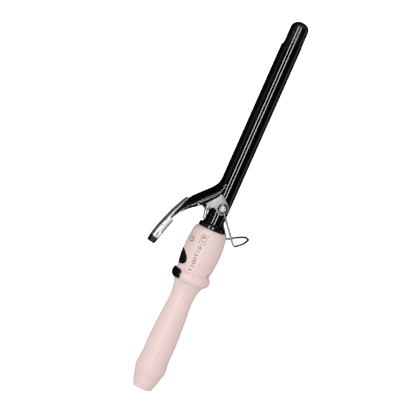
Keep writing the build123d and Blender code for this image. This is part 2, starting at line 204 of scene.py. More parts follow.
def wire(path, radius, sides):
    """Grid of a round wire along a path: a circle carried square to it without twist, ends domed.

    The first side is square to the first run and to an oblique direction that no wire follows."""
    oblique = (0.31, 0.42, 0.85)
    tangent = np.gradient(path, axis=0)
    tangent /= np.linalg.norm(tangent, axis=1)[:, None]
    side = np.cross(tangent[0], oblique)
    sides_along = []
    for direction in tangent:
        side = side - direction * (side @ direction)
        side = side / np.linalg.norm(side)
        sides_along.append(side)
    first = np.array(sides_along)
    second = np.cross(tangent, first)
    angle = circle(sides)[:, None]
    ring = np.cos(angle) * first[:, None] + np.sin(angle) * second[:, None]
    body = path[:, None] + radius * ring
    t = np.linspace(0, math.pi / 2, 6)[:-1]
    scale = np.sin(t)[:, None, None]
    reach = np.cos(t)[:, None, None] * radius
    head = path[0] - reach * tangent[0] + radius * scale * ring[0]
    tail = path[-1] + reach * tangent[-1] + radius * scale * ring[-1]
    return np.concatenate([head, body, tail[::-1]])


def offset_loop(section, thick):
    """The inner side of a sheet's section: each point moved by the thickness along its normal."""
    slope = np.gradient(section, axis=-2)
    normal = np.stack([slope[..., 1], -slope[..., 0]], -1)
    normal /= np.linalg.norm(normal, axis=-1, keepdims=True)
    return section + thick * normal


# ---- materials
def linear(hex_colour):
    """An sRGB hex colour as linear RGBA."""
    channels = [int(hex_colour[k : k + 2], 16) / 255 for k in (1, 3, 5)]
    values = [c / 12.92 if c <= 0.04045 else ((c + 0.055) / 1.055) ** 2.4 for c in channels]
    return (*values, 1.0)


def per_mm(size):
    """Texture scale, in Object coordinates in metres, whose features are about size mm."""
    return 1.0 / (size * MM)


def add_node(tree, kind, inputs=None, **settings):
    """One node with its settings, and its inputs as values or as sockets to link from."""
    made = tree.nodes.new(kind)
    for key, value in settings.items():
        setattr(made, key, value)
    for key, value in (inputs or {}).items():
        socket = made.inputs[key]
        if isinstance(value, bpy.types.NodeSocket):
            tree.links.new(value, socket)
        else:
            socket.default_value = value
    return made


def finish_material(name, colour, rough, grain_mm, bump_mm, shade, stretch=(1, 1, 1), **shader):
    """A Principled material with two patterns on Object coordinates: a grain of grain_mm that varies
    the roughness by 15 percent and lifts the surface by bump_mm, and a cloud ten grains wide that
    darkens the linear colour to shade. A stretch below 1 draws both out along that axis."""
    made = bpy.data.materials.new(name)
    made.use_nodes = True
    tree = made.node_tree
    tree.nodes.clear()
    point = add_node(tree, "ShaderNodeTexCoord").outputs["Object"]
    drawn = add_node(tree, "ShaderNodeMapping", {"Vector": point, "Scale": stretch})
    place = drawn.outputs["Vector"]
    fine = {"Vector": place, "Scale": per_mm(grain_mm), "Detail": 3.0}
    broad = {"Vector": place, "Scale": per_mm(10 * grain_mm), "Detail": 2.0}
    grain = add_node(tree, "ShaderNodeTexNoise", fine).outputs["Fac"]
    cloud = add_node(tree, "ShaderNodeTexNoise", broad).outputs["Fac"]
    low, high = 0.3, 0.7
    tint = add_node(tree, "ShaderNodeValToRGB", {"Fac": cloud})
    tint.color_ramp.elements[0].position = low
    tint.color_ramp.elements[0].color = [channel * shade for channel in colour[:3]] + [1.0]
    tint.color_ramp.elements[1].position = high
    tint.color_ramp.elements[1].color = colour
    limits = {"From Min": low, "From Max": high, "To Min": rough * 0.85, "To Max": rough * 1.15}
    spread = add_node(tree, "ShaderNodeMapRange", {"Value": grain, **limits})
    relief = {"Height": grain, "Distance": bump_mm * MM, "Strength": 1.0}
    bump = add_node(tree, "ShaderNodeBump", relief)
    sockets = {
        "Base Color": tint.outputs["Color"],
        "Roughness": spread.outputs["Result"],
        "Normal": bump.outputs["Normal"],
    }
    body = add_node(tree, "ShaderNodeBsdfPrincipled", {**sockets, **shader})
    add_node(tree, "ShaderNodeOutputMaterial", {"Surface": body.outputs["BSDF"]})
    return made


def soft_touch_abs(colour):
    """Moulded ABS under a soft-touch lacquer: a dull, even, finely grained skin with a faint sheen."""
    coat = {"IOR": 1.47, "Sheen Weight": 0.12}
    return finish_material("soft_touch_lacquer_on_abs", colour, 0.46, 0.5, 0.012, 0.975, **coat)


def ceramic_coat(colour):
    """Sprayed ceramic coat on metal, fired black: smooth and glassy, with a slight orange peel."""
    return finish_material("gloss_black_ceramic_coat", colour, 0.1, 5.0, 0.0004, 0.8, IOR=1.7)


def heatproof_plastic(colour):
    """Glass-filled PET moulded in a polished tool: deep black with a soft, bright highlight."""
    return finish_material("polished_black_pet", colour, 0.2, 0.35, 0.0008, 0.85, IOR=1.75)


def matt_abs(colour):
    """Black ABS with a fine spark-eroded texture: dull, with a broad faint highlight."""
    level = {"Specular IOR Level": 0.3}
    return finish_material("matt_black_abs", colour, 0.5, 0.3, 0.004, 0.85, **level)


def gloss_acrylic(colour):
    """Smoked acrylic pane, moulded and polished: nearly black, a little green, clear and glossy."""
    return finish_material("smoked_acrylic", colour, 0.12, 2.5, 0.001, 0.8, IOR=1.49)


def pressed_steel(colour):
    """Cold-rolled stainless sheet, pressed and tumbled: satin grey with short scratches along it."""
    grain = (0.25, 1, 1)
    look = (0.44, 0.25, 0.006, 0.86, grain)
    return finish_material("satin_stainless_sheet", colour, *look, Metallic=1.0)


def bright_plating(colour):
    """Nickel plate on steel: bright, a little softened, with faint drawing lines."""
    return finish_material("bright_nickel_plate", colour, 0.34, 0.5, 0.001, 0.9, Metallic=1.0)


def silvered_abs(colour):
    """ABS plated with satin chrome: pale, smooth and only half mirror-like."""
    return finish_material("satin_chrome_on_abs", colour, 0.3, 1.2, 0.0006, 0.93, Metallic=0.8)


def spring_wire(colour):
    """Hard-drawn spring wire: grey steel with die lines along the wire."""
    return finish_material("drawn_spring_wire", colour, 0.3, 0.2, 0.004, 0.8, Metallic=1.0)


def print_ink(colour):
    """Pad-printed ink: thin, and a little glossier than the lacquer under it."""
    return finish_material("pad_print_ink", colour, 0.4, 0.3, 0.003, 0.9)


def dress(obj, material, body, slot, *replaced):
    """Gives a piece its material, its CAD body and the CAD nodes it stands for. The slot argument is
    not used.
    """
    obj.data.materials.append(material)
    if body:
        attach(obj, body)
    if replaced:
        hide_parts(*replaced)


# ---- properties
def length(name, description, default):
    """A length property whose default is given in mm."""
    return bpy.props.FloatProperty(
        name=name, description=description, default=default * MM, unit="LENGTH"
    )


def colour(name, description, default):
    """A colour property whose default is given as sRGB hex and held as linear RGBA."""
    return bpy.props.FloatVectorProperty(
        name=name, description=description, default=linear(default), size=4, subtype="COLOR"
    )


class IronSizes(bpy.types.PropertyGroup):
    """Sizes that shape the pieces."""

    barrel_radius: length("Barrel radius", "Outer radius of the heated barrel", BARREL_HIGH[2])
    barrel_wall: length("Barrel wall", "Thickness of the barrel's tube", 0.9)
    cap_radius: length("Cap radius", "Radius of the tip cap and its dome", 9.1)
    jaw_radius: length("Jaw radius", "Outer radius of the clamp's jaw", 10.55)
    sheet: length("Clamp sheet", "Thickness of the clamp's sheet metal", 0.8)
    grip_wall: length("Grip wall", "Wall thickness of the grip shells", 2.2)
    seam_depth: length("Seam depth", "Depth of the rounded seam between the grip shells", 0.4)
    stand_wire: length("Stand wire", "Diameter of the stand's wire", 2.0)
    spring_wire: length("Spring wire", "Diameter of the clamp spring's wire", 1.2)
    bracket_sheet: length("Bracket sheet", "Thickness of the hinge bracket", 0.9)


class IronColours(bpy.types.PropertyGroup):
    """Colours of the finishes."""

    grip: colour("Grip", "Soft-touch lacquer of the grip", "#F4DAD5")
    coat: colour("Coat", "Ceramic coat of barrel and clamp", "#050506")
    plastic: colour("Black plastic", "Collar, caps and button", "#070708")
    pane: colour("Pane", "Smoked acrylic of the display window", "#171C1B")
    steel: colour("Steel", "Pressed steel of the hinge bracket", "#97989A")
    plating: colour("Plating", "Bright nickel of wire and screws", "#8D8B89")
    screws: colour("Screws", "Bright nickel of the pivot screws", "#BDBEC0")
    thumb: colour("Thumb rest", "Satin chrome of the thumb rest", "#B6B8BA")
    spring: colour("Spring", "Drawn wire of the clamp spring", "#746C5C")
    ink: colour("Ink", "Printed marks on the grip", "#7F6F66")


# ---- grip
# Station and radius of the grip where its curves meet, and the radius of its hole for the gland.
WAIST = (-69.4, 16.9)
UNDER_BEAD = (-81.2, 15.5)
RIDGE = (-172.3, 15.65)
SHOULDER = (-178.6, 14.7)
END_ROUND = 2.2
GLAND_HOLE = 5.62


def bulge(a, b, c, x):
    """Profile at stations x on the circle through three points."""
    a, b, c = (np.array(point) for point in (a, b, c))
    centre = np.linalg.solve(2 * np.array([b - a, c - a]), [b @ b - a @ a, c @ c - a @ a])
    radius = np.linalg.norm(centre - a)
    return np.stack([x, centre[1] + np.sqrt(radius**2 - (x - centre[0]) ** 2)], -1)


def grip_profile():
    """Station and radius along the grip: a swell and a waist on a cubic, the bead as an arc, the neck
    on a cubic, then a rounded ridge, a nearly straight taper and a rounded end."""
    swell_x = (WAIST[0], -57.5, -45.4, -33.5, -24.4, GRIP_HIGH[0])
    swell_r = (WAIST[1], 18.4, 19.0, 18.0, 15.3, 14.6)
    x = np.linspace(GRIP_HIGH[0], WAIST[0], 170)
    swell = np.stack([x, smooth_through(swell_x, swell_r, x)], -1)
    bead_top = (BEAD_X, GRIP_HIGH[2])
    bead = bulge(WAIST, bead_top, UNDER_BEAD, np.linspace(WAIST[0] - 0.1, UNDER_BEAD[0] + 0.1, 64))
    neck_x = (RIDGE[0], -163.0, -145.0, -118.0, -98.0, -86.0, UNDER_BEAD[0])
    neck_r = (RIDGE[1], 14.75, 14.7, 13.3, 12.1, 13.6, UNDER_BEAD[1])
    x = np.linspace(UNDER_BEAD[0], RIDGE[0], 120)[1:]
    neck = np.stack([x, smooth_through(neck_x, neck_r, x)], -1)
    ridge = bulge(RIDGE, (-175.6, 15.55), (-178.2, 14.85), np.linspace(-173.0, -178.0, 14))
    end_x = GRIP_LOW[0]
    run = np.linspace(0, 1, 18)
    taper_x = SHOULDER[0] + run * (end_x + END_ROUND - SHOULDER[0])
    taper_r = SHOULDER[1] - 4.2 * run + 0.9 * run * (1 - run)
    taper = np.stack([taper_x, taper_r], -1)
    end = arc_points((end_x + END_ROUND, 8.3), END_ROUND, 78, 180, 12)
    return np.concatenate([swell, bead, neck, ridge, taper, end, [[end_x, GLAND_HOLE]]])


GRIP = grip_profile()


def grip_radius(x):
    """Radius of the grip at a station."""
    return np.interp(-np.asarray(x), -GRIP[:, 0], GRIP[:, 1])


def superellipse(angle, reach, half_width, power):
    """Polar radius at which the shares of reach and half width, each raised to power, add up to 1."""
    along = np.abs(np.cos(angle) / reach) ** power
    across = np.abs(np.sin(angle) / half_width) ** power
    return (along + across) ** (-1 / power)


def window_outline(angle):
    """The pane's egg outline in polar form: pointed to the barrel and blunt to the bead."""
    to_barrel = np.cos(angle) > 0
    reach = np.where(to_barrel, 8.9, 6.5)
    power = np.where(to_barrel, 1.75, 2.9)
    return superellipse(angle, reach, 11.9, power)


def button_outline(angle):
    """The button's outline in polar form: close to a rounded rectangle."""
    return superellipse(angle, 4.6, 13.8, 4.5)


def inside_outline(x, z, centre_x, outline):
    """How far out a point lies: below 1 it is inside the outline."""
    angle = np.arctan2(z, x - centre_x)
    return np.hypot(x - centre_x, z) / outline(angle)


def on_grip(x, z, lift):
    """A point over the button side of the grip, raised by lift."""
    radius = grip_radius(x) + lift
    return np.stack([x, GRIP_Y + np.sqrt(np.maximum(radius**2 - z**2, 0.01)), z], -1)


# Recesses under the window and the button: centre, outline, depth, and where the wall starts and how
# wide it is, in shares of the outline.
RECESSES = (
    (WINDOW_X, window_outline, 1.0, 1.045, 0.035),
    (BEAD_X, button_outline, 1.95, 1.09, 0.03),
)
# Screw wells in the back of the grip: station, offset and the level of the well's floor in Y.
WELLS = ((-66.5, 10.2, -9.9), (-66.5, -10.2, -9.9), (-112.0, 0.0, -8.9), (-164.0, 0.0, -9.9))
WELL_R = 2.7
WELL_WALL = 0.5


def sink_wells(x, angle, radius, deeper):
    """Radius of the back shell with its wells: inside a well it falls to the floor's level, by a
    smooth step of the distance from the well's axis."""
    sunk = radius
    for well_x, well_z, floor in WELLS:
        distance = np.hypot(x - well_x, radius * np.sin(angle) - well_z)
        share = ease((WELL_R + WELL_WALL / 2 - distance) / WELL_WALL)
        bottom = (GRIP_Y - floor - deeper) / np.maximum(-np.cos(angle), 0.3)
        sunk = np.where(np.cos(angle) < 0, sunk + share * (np.minimum(bottom, radius) - sunk), sunk)
    return sunk


def grip_shell(front, wall, seam_depth):
    """Grid of one half of the grip: at each station an arc of the outer radius and one of the inner.

    The columns crowd towards the seam, where the outer radius dips as a bell of the distance to it.
    On the button's side it also dips under the window and the button, by a smooth step of how far
    out each point lies. The back has its screw wells."""
    x, radius = GRIP[:, :1], GRIP[:, 1:]
    columns = np.linspace(-1, 1, 168)
    seam = np.arccos(-GRIP_Y / radius)
    half = seam if front else math.pi - seam
    angle = half * (0.45 * columns + 0.55 * np.sin(columns * math.pi / 2))
    if not front:
        angle = math.pi + angle
    from_seam = (half - np.abs(angle - (0 if front else math.pi))) * radius
    seam_width = 0.45
    outer = radius - seam_depth * np.exp(-((from_seam / seam_width) ** 2))
    inner_angle = angle[:, ::-3]
    inner = np.maximum(np.broadcast_to(radius - wall, inner_angle.shape), GLAND_HOLE)
    if front:
        facing = np.cos(angle) > 0
        for centre_x, outline, depth, start, width in RECESSES:
            share = inside_outline(x, radius * np.sin(angle), centre_x, outline)
            outer = outer - depth * facing * ease((start - share) / width)
    else:
        well_floor = 0.8
        outer = sink_wells(x, angle, outer, 0.0)
        inner = sink_wells(x, inner_angle, inner, well_floor)
    turn = np.concatenate([angle, inner_angle], 1)
    reach = np.concatenate([outer, inner], 1)
    station = np.broadcast_to(x, turn.shape)
    return np.stack([station, GRIP_Y + reach * np.cos(turn), reach * np.sin(turn)], -1)


def patch_on_grip(centre_x, outline, lift, drop, crown):
    """Grid of a pane or key: rings that grow from the centre to the outline, roll over its edge and
    close underneath. The crown lifts them by one minus the square of their share of the outline."""
    edge = [0.975, 0.99, 0.997, 1.0, 1.0]
    share = np.concatenate([np.linspace(0, 0.955, 26), edge, np.linspace(0.96, 0, 6)])
    roll = lift - np.array([0.03, 0.12, 0.28, 0.5])
    height = np.concatenate([np.full(26, lift), roll, np.full(7, -drop)])
    height = height + crown * (1 - share**2) * (height > -drop)
    angle = circle(128)
    reach = share[:, None] * outline(angle)
    x = centre_x + reach * np.cos(angle)
    z = reach * np.sin(angle) * (1 + np.minimum(height, 0) / grip_radius(centre_x))[:, None]
    return on_grip(x, z, height[:, None])


class IRON_OT_grip(bpy.types.Operator):
    """Two grip shells with a soft seam, recessed under the window and the button."""

    bl_idname = "iron.grip"
    bl_label = "Grip shells"

    def execute(self, context):
        sizes = context.scene.iron_sizes
        skin = soft_touch_abs(context.scene.iron_colours.grip)
        wall = sizes.grip_wall / MM
        depth = sizes.seam_depth / MM
        front = surface("grip_front", grip_shell(True, wall, depth))
        dress(front, skin, "housing", "grip_paint", "front_grip_shell")
        back = surface("grip_back", grip_shell(False, wall, depth))
        dress(back, skin, "housing", "grip_paint", "rear_grip_shell")
        return {"FINISHED"}


class IRON_OT_window(bpy.types.Operator):
    """The egg-shaped pane over the display."""

    bl_idname = "iron.window"
    bl_label = "Display window"

    def execute(self, context):
        smoked = gloss_acrylic(context.scene.iron_colours.pane)
        pane = surface("display_pane", patch_on_grip(WINDOW_X, window_outline, 0.12, 0.9, 0.12))
        dress(pane, smoked, "housing", "black_gloss", "display_window")
        return {"FINISHED"}


def on_side(x, across, lift):
    """A point over the side of the grip, across as arc length from the middle angle of the marks."""
    middle = math.radians(68.0)
    radius = grip_radius(x)
    angle = middle - across / radius
    raised = radius + lift
    return np.stack([x, GRIP_Y + raised * np.cos(angle), raised * np.sin(angle)], -1)


def ribbon(path, width, low, top, place):
    """Grid of a printed line: a flat box section carried along a path of (station, across), set on the
    grip by place."""
    slope = np.gradient(path, axis=0)
    slope /= np.linalg.norm(slope, axis=1)[:, None]
    side = np.stack([-slope[:, 1], slope[:, 0]], -1) * width / 2
    left, right = path + side, path - side
    corners = ((left, low), (left, top), (right, top), (right, low))
    return np.stack([place(*edge.T, level) for edge, level in corners], 1)


class IRON_OT_button(bpy.types.Operator):
    """The press button on the bead, with its printed power ring."""

    bl_idname = "iron.button"
    bl_label = "Press button"

    def execute(self, context):
        colours = context.scene.iron_colours
        key = surface("power_key", patch_on_grip(BEAD_X, button_outline, -0.02, 0.6, 0.05))
        dress(key, matt_abs(colours.plastic), "button", "black_plastic", "power_button")
        ring = arc_points((BEAD_X, 0.0), 1.5, 35, 325, 40)
        bar = np.stack([np.linspace(BEAD_X + 0.4, BEAD_X + 2.0, 6), np.zeros(6)], -1)
        lines = [ribbon(path, 0.35, 0.0, 0.06, on_grip) for path in (ring, bar)]
        icon = surface("power_key_ring", *lines)
        dress(icon, print_ink(linear("#8A8C8E")), "button", "black_plastic")
        return {"FINISHED"}


class IRON_OT_marks(bpy.types.Operator):
    """Printed marks: a sign in a box, a row of short strokes and rings, and a ring on its own."""

    bl_idname = "iron.marks"
    bl_label = "Printed marks"

    def execute(self, context):
        def straight(start, end):
            return np.linspace(start, end, 14)

        left, right, half = -39.4, -29.6, 3.1
        corners = [(left, -half), (right, -half), (right, half), (left, half)]
        lines = [(straight(a, b), 0.42) for a, b in zip(corners, corners[1:] + corners[:1])]
        lines.append((straight((-36.6, -1.9), (-36.6, 1.9)), 0.72))
        lines.append((arc_points((-32.6, 0.8), 1.15, 0, 360, 30), 0.72))
        lines.append((arc_points((-33.6, 0.5), 2.2, 8, -70, 14), 0.72))
        first, pitch, stroke = -43.4, 3.9, 0.76
        for step, kind in enumerate("oibuoib"):
            x = first - pitch * step
            if kind == "o":
                lines.append((arc_points((x, 0), 1.45, 0, 360, 30), stroke))
            if kind == "u":
                lines.append((arc_points((x, 0), 1.45, -75, 255, 24), stroke))
            if kind in "ib":
                lines.append((straight((x, -1.8), (x, 1.8)), stroke))
            if kind == "b":
                lines.append((straight((x - 1.3, 1.5), (x + 1.3, 1.5)), stroke))
        lines.append((arc_points((-38.8, 12.6), 2.3, 0, 360, 36), 0.9))
        grids = [ribbon(path, width, 0.015, 0.065, on_side) for path, width in lines]
        marks = surface("size_marks", *grids)
        dress(marks, print_ink(context.scene.iron_colours.ink), "housing", "grip_paint")
        return {"FINISHED"}


# ---- barrel end of the iron
class IRON_OT_barrel(bpy.types.Operator):
    """The heated tube, its domed cap and the collar at its root, all turned."""

    bl_idname = "iron.barrel"
    bl_label = "Barrel, cap and collar"

    def execute(self, context):
        sizes = context.scene.iron_sizes
        colours = context.scene.iron_colours
        outer = sizes.barrel_radius / MM
        inner = outer - sizes.barrel_wall / MM
        root, mouth = BARREL_LOW[0], BARREL_HIGH[0]
        stations = np.linspace(root + 0.4, mouth - 0.35, 60)
        lip = arc_points((mouth - 0.35, outer - 0.35), 0.35, 90, 0, 5)
        start = [(root, inner), (root, outer - 0.3)]
        profile = [*start, *[(x, outer) for x in stations], *lip[1:], (mouth, inner)]
        tube = surface("barrel_tube", rings=[turned(profile)])
        dress(tube, ceramic_coat(colours.coat), "housing", "black_enamel", "barrel")

        cap = sizes.cap_radius / MM
        tip_x = CAP_HIGH[0] - 0.9
        dome_x = tip_x - 7.9
        joint = BARREL_HIGH[0]
        edge = arc_points((joint + 0.45, cap - 0.4), 0.4, 180, 90, 5)
        angle = np.linspace(math.pi / 2, 0, 40)
        blunt = 0.95
        dome_run = dome_x + (tip_x - dome_x) * np.cos(angle) ** blunt
        dome = np.stack([dome_run, cap * np.sin(angle) ** blunt], -1)
        shaft = [(x, cap) for x in np.linspace(joint + 1.2, dome_x - 0.6, 10)]
        plug = [(joint - 6.0, 0.0), (joint - 6.0, inner - 0.3), (joint - 5.7, inner - 0.05)]
        plug.append((joint + 0.05, inner - 0.05))
        cap_piece = surface("tip_dome", turned([*plug, *edge, *shaft, *dome]))
        dress(cap_piece, heatproof_plastic(colours.plastic), "housing", "black_plastic", "tip_cap")

        top = COLLAR_HIGH[0]
        seat = GRIP_HIGH[0]
        reach = COLLAR_HIGH[2]
        bore = outer + 0.06
        flare = [(top, bore), (top, outer + 0.9), (top - 0.25, outer + 1.15)]
        step = [(top - 0.9, outer + 1.6), (top - 1.35, outer + 2.1), (top - 1.6, outer + 2.75)]
        shelf = (top - 1.8, reach - 0.8)
        rim = arc_points((top - 2.85, reach - 1.0), 1.0, 20, 90, 8)
        rim_low = arc_points((seat + 1.0, reach - 0.9), 0.9, 90, 180, 8)
        neck = [(seat + 0.1, 11.5), (COLLAR_LOW[0], 11.5), (COLLAR_LOW[0], bore)]
        profile = [*flare, *step, shelf, *rim, *rim_low, *neck]
        collar = surface("root_collar", rings=[turned(profile)])
        dress(collar, heatproof_plastic(colours.plastic), "housing", "black_plastic", "collar")
        return {"FINISHED"}


# ---- clamp
# Lever stations along its crown, tail first: x, y, lean in degrees, half width and depth.
LEVER = np.array(
    [
        (-34.0, 45.6, 16.0, 5.3, 2.0),
        (-28.0, 44.0, 17.5, 5.8, 2.8),
        (-22.0, 42.2, 20.0, 6.4, 3.9),
        (-14.0, 38.9, 27.0, 8.0, 5.7),
        (-6.0, 34.5, 36.0, 10.3, 7.9),
        (0.0, 30.1, 41.5, 12.3, 9.6),
        (5.3, 25.3, 43.0, 12.4, 10.3),
        (10.6, 20.1, 43.5, 12.4, 9.8),
        (15.6, 15.4, 41.0, 12.2, 9.0),
        (19.6, 12.5, 30.0, 11.2, 7.4),
        (23.4, 10.98, 13.0, 9.6, 5.6),
        (28.0, 10.55, 0.0, 8.85, 4.8),
    ]
)
# Angle of the crown where its crease starts, the crease's radius as a share of the half width, the
# share of a section's columns over crown and crease, and half the angle of the jaw.
CREASE_START = math.radians(46.0)
CREASE_SHARE = 0.32
CROWN_COLUMNS = 0.9
JAW_HALF_ANGLE = math.radians(57.0)


def clamp_sections(jaw_radius, sheet):
    """Grid of the clamp: a closed section of the sheet at each station from the tail to the tip.

    A lever section is a crown of one radius, a crease of a tighter one and a straight flange. Both
    radii are set by the half width, and flattened where the flanges are shallow. A jaw section is an
    arc about the barrel. The two mix where they meet. Narrowing its arc rounds the jaw's corners."""
    tail, root = LEVER[0, 0], LEVER[-1, 0]
    share = np.linspace(-1, 1, 133)
    x = np.concatenate([np.linspace(tail, root, 160), np.linspace(root + 0.6, JAW_HIGH[0], 160)])
    fields = smooth_through(LEVER[:, 0], LEVER[:, 1:], np.minimum(x, root))
    x = x[:, None]
    y, lean, half, depth = (fields[:, k : k + 1] for k in range(4))
    lean = np.radians(lean)
    crease = CREASE_SHARE * half
    crown = (half - crease) / math.sin(CREASE_START) + crease
    angle = np.minimum(np.abs(share) / CROWN_COLUMNS, 1) * math.pi / 2
    on_crown = np.minimum(angle, CREASE_START)
    z = crown * np.sin(on_crown) + crease * (np.sin(angle) - np.sin(on_crown))
    down = crown * (1 - np.cos(on_crown)) + crease * (np.cos(on_crown) - np.cos(angle))
    flatten = np.minimum(1, (depth - 0.25) / down[:, :1])
    flange = np.clip((np.abs(share) - CROWN_COLUMNS) / (1 - CROWN_COLUMNS), 0, 1)
    z = np.sign(share) * z
    down = down * flatten + flange * (depth - down[:, :1] * flatten)
    tip_run = 4.2
    tip = np.clip((x - (JAW_HIGH[0] - tip_run)) / tip_run, 0, 1)
    jaw_angle = share * JAW_HALF_ANGLE * np.sqrt(np.maximum(1 - 0.93 * tip**2.6, 0))
    mix = ease((x - 20.0) / 9.0)
    z = mix * jaw_radius * np.sin(jaw_angle) + (1 - mix) * z
    down = mix * jaw_radius * (1 - np.cos(jaw_angle)) + (1 - mix) * down
    outer = np.stack([z, -down], -1)
    section = np.concatenate([outer, offset_loop(outer, sheet)[:, ::-1]], 1)
    across, up = section[..., 0], section[..., 1]
    place_y = np.where(x > root, jaw_radius, y) + np.cos(lean) * up
    return np.stack([x + np.sin(lean) * up, place_y, across], -1)


class IRON_OT_clamp(bpy.types.Operator):
    """Jaw and thumb lever in one pressed sheet."""

    bl_idname = "iron.clamp"
    bl_label = "Clamp plate"

    def execute(self, context):
        sizes = context.scene.iron_sizes
        grid = clamp_sections(sizes.jaw_radius / MM, sizes.sheet / MM)
        coat = ceramic_coat(context.scene.iron_colours.coat)
        dress(surface("clamp_sheet", grid), coat, "clamp", "black_enamel", "clamp_plate")
        return {"FINISHED"}


def bracket_outline():
    """Closed outline of one ear: under the flange, round the pivot and out to a tab for the pin."""
    lobe = arc_points((0.0, 0.0), 6.6, -42, -192, 34)
    tab = arc_points(PIN, 2.3, 215, 80, 16)
    notch = [(-3.6, 5.9), (-2.2, 8.2), (-3.0, 9.6)]
    under = [(-1.6, 15.9), (-3.0, 19.8), (-2.6, 21.6), (11.6, 8.6), (12.7, 6.6), (12.2, 4.4)]
    return np.concatenate([lobe, notch, tab, under])


def plate(outline, z0, z1, edge):
    """Grid of a flat plate: its outline, drawn in at both faces by a rounded edge."""
    centre = outline.mean(0)
    ahead = np.roll(outline, -1, 0) - np.roll(outline, 1, 0)
    ahead /= np.linalg.norm(ahead, axis=1)[:, None]
    inward = np.stack([ahead[:, 1], -ahead[:, 0]], -1)
    if np.sum(inward * (centre - outline)) < 0:
        inward = -inward
    turn = np.linspace(0, math.pi / 2, 4)
    levels = [(edge * (1 - math.sin(t)), z0 + edge * (1 - math.cos(t))) for t in turn]
    levels += [(edge * (1 - math.sin(t)), z1 - edge * (1 - math.cos(t))) for t in turn[::-1]]
    flat = np.ones(len(outline))
    return np.array([np.column_stack([outline + inward * inset, z * flat]) for inset, z in levels])


class IRON_OT_pivot(bpy.types.Operator):
    """Hinge bracket, its washers and screws, and the spring's pin."""

    bl_idname = "iron.pivot"
    bl_label = "Hinge bracket and screws"

    def execute(self, context):
        sizes = context.scene.iron_sizes
        colours = context.scene.iron_colours
        thick = sizes.bracket_sheet / MM
        ear_z = WASHER_HIGH[2] - 0.6 - thick
        corners = np.array([(10.6, 9.8), (0.4, 19.2), (-0.2, 18.5), (10.0, 9.1)])
        sides = zip(corners, np.roll(corners, -1, 0))
        web = np.concatenate([np.linspace(a, b, 8, endpoint=False) for a, b in sides])
        ear = plate(bracket_outline(), ear_z, ear_z + thick, 0.3)
        cross = plate(web, -ear_z - 0.1, ear_z + 0.1, 0.05)
        bracket = surface("bracket_ears", ear, ear * MIRROR, cross, sharp_deg=50)
        dress(bracket, pressed_steel(colours.steel), "clamp", "steel", "hinge_bracket")

        top = WASHER_HIGH[2]
        low = [(top - 0.5, 2.05), (top - 0.5, 4.9), (top - 0.35, 5.0)]
        ring = turned([*low, (top - 0.12, 5.0), (top, 4.8), (top, 2.05)], "z", steps=64)
        washers = surface("pivot_rings", rings=[ring, ring * MIRROR])
        dress(washers, heatproof_plastic(colours.plastic), "housing", "black_plastic", "pivot_washers")

        high = SCREW_HIGH[2]
        turn = circle(128)
        rim = [(2.6, 0.02), (2.8, 0.1), (2.95, 0.26), (3.05, 0.5), (3.1, 0.8), (3.1, 1.55)]
        shank = [(2.0, 1.55), (2.0, 5.4), (1.5, 5.4), (1.5, 8.9), (0.0, 8.9)]
        flat = [(r, 0.0) for r in np.linspace(0, 2.4, 34)]
        radius, drop = np.array(flat + rim + shank).T[:, :, None]
        px, py = radius * np.cos(turn), radius * np.sin(turn)
        near, far = np.sort(np.abs([px, py]), axis=0)
        outside_cross = np.maximum(near - 0.5, far - 1.9)
        pz = high - drop - 1.4 * ease((0.1 - outside_cross) / 0.2) * (drop == 0)
        head = np.stack([px, py, pz], -1)
        screws = surface("pivot_screw_pair", head, head * MIRROR)
        dress(screws, bright_plating(colours.screws), "housing", "bright_steel", "pivot_screws")

        end = ear_z + thick
        rivet = [(0.6, 0.0), (0.6, 1.5), (0.4, 1.85), (0.02, 1.9), (0.02, 1.3)]
        left = [(-end - z, r) for z, r in rivet]
        middle = [(z, 1.3) for z in np.linspace(-end + 0.5, end - 0.5, 12)]
        right = [(end + z, r) for z, r in rivet[::-1]]
        pin_piece = surface("spring_rivet", turned(left + middle + right, "z", PIN, 40))
        dress(pin_piece, pressed_steel(colours.steel), "clamp", "steel", "spring_pin")
        return {"FINISHED"}


class IRON_OT_spring(bpy.types.Operator):
    """The double torsion spring: a wound wire whose middle bar bears on the barrel."""

    bl_idname = "iron.spring"
    bl_label = "Clamp spring"

    def execute(self, context):
        sizes = context.scene.iron_sizes
        radius = sizes.spring_wire / MM / 2
        coil_r = 2.1
        turns = 3.25
        t = np.linspace(0, 1, 110)
        angle = math.radians(200) - t * turns * 2 * math.pi
        coil_z = 5.9
        pitch = 2.236 * radius
        z = coil_z + t * turns * pitch
        coil = np.stack([PIN[0] + coil_r * np.cos(angle), PIN[1] + coil_r * np.sin(angle), z], -1)
        foot = (-16.6, sizes.barrel_radius / MM + 0.75)
        bar_z = coil[0, 2]
        leg = rounded_path([(*foot, 0.0), (*foot, bar_z), tuple(coil[0])], [1.3])
        last = coil[-1]
        arm = np.linspace(last, (3.0, 16.0, last[2]), 24)[1:]
        half = np.concatenate([leg, coil[1:], arm])
        path = np.concatenate([half[:0:-1] * MIRROR, half])
        spring = surface("wound_spring", wire(path, radius, 14))
        steel = spring_wire(context.scene.iron_colours.spring)
        dress(spring, steel, None, "spring_steel", "clamp_spring")
        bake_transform(spring)
        return {"FINISHED"}


# Thumb rest stations, cap first: x, y of the outer face, lean, thickness, half width and crown.
REST = np.array(
    [
        (-50.3, 53.3, 14.0, 8.3, 6.8, 0.5),
        (-38.5, 50.1, 18.0, 8.4, 6.8, 0.5),
        (-27.2, 46.27, 20.0, 8.2, 6.6, 1.0),
        (-27.0, 46.2, 20.0, 4.2, 6.6, 1.0),
        (-20.0, 43.7, 23.0, 3.7, 6.4, 1.4),
        (-13.0, 40.5, 27.0, 3.0, 6.0, 1.5),
        (-8.0, 38.0, 29.0, 2.4, 5.4, 1.3),
        (-3.6, 35.5, 30.0, 1.7, 4.6, 0.9),
    ]
)


